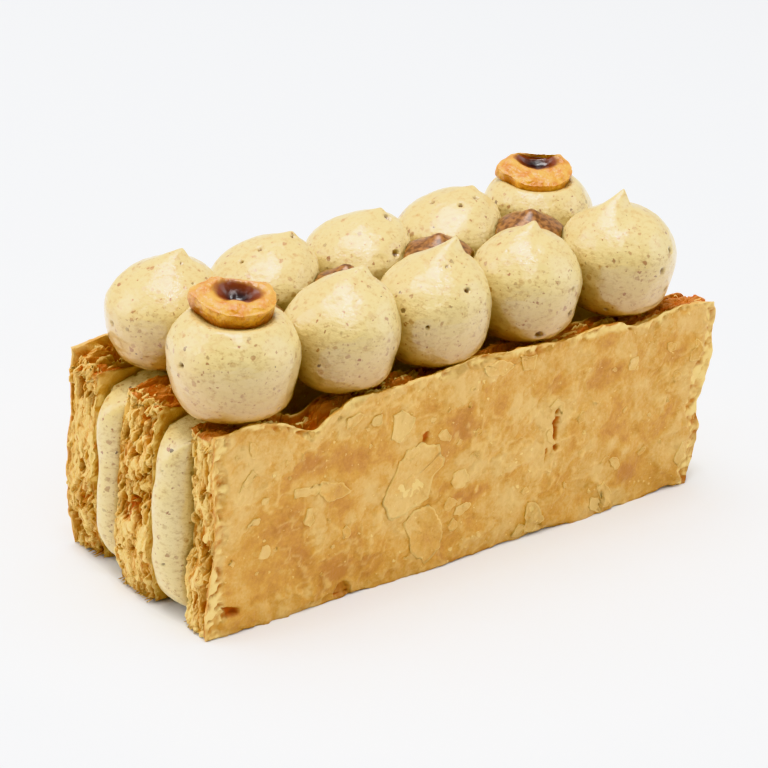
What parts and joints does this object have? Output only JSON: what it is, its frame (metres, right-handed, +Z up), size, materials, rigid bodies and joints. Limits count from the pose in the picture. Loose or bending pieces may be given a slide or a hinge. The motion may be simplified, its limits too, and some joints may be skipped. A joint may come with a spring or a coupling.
{
  "type": "mille feuille slice",
  "caption": "Mille feuille slice on edge: upright puff pastry slabs with hazelnut cream between them, piped cream kisses, praline drops and hazelnut halves on top.",
  "frame": {"origin": "middle of the slice's box, on the surface that it stands on", "axes": "+X along the slice, +Y across its layers from the front slab to the back slab, +Z up through the kisses"},
  "size_m": [0.122, 0.0462, 0.0629],
  "materials": {
    "puff_pastry": "baked golden puff pastry, dry and flaky, satin where the skin is intact",
    "hazelnut_cream": "whipped hazelnut cream with nut specks, softly glossy",
    "praline": "glossy brown praline",
    "roasted_hazelnut": "caramelised roasted hazelnut, glossy rim and dark hollow"
  },
  "bodies": {
    "root": {"pastry_front": "puff_pastry", "pastry_middle": "puff_pastry", "pastry_back": "puff_pastry", "cream_front": "hazelnut_cream", "cream_back": "hazelnut_cream", "kiss_front_1": "hazelnut_cream", "kiss_front_2": "hazelnut_cream", "kiss_front_3": "hazelnut_cream", "kiss_front_4": "hazelnut_cream", "kiss_front_5": "hazelnut_cream", "kiss_back_1": "hazelnut_cream", "kiss_back_2": "hazelnut_cream", "kiss_back_3": "hazelnut_cream", "kiss_back_4": "hazelnut_cream", "kiss_back_5": "hazelnut_cream", "praline_1": "praline", "praline_2": "praline", "praline_3": "praline", "praline_4": "praline", "hazelnut_left": "roasted_hazelnut", "hazelnut_right": "roasted_hazelnut"}
  },
  "joints": []
}
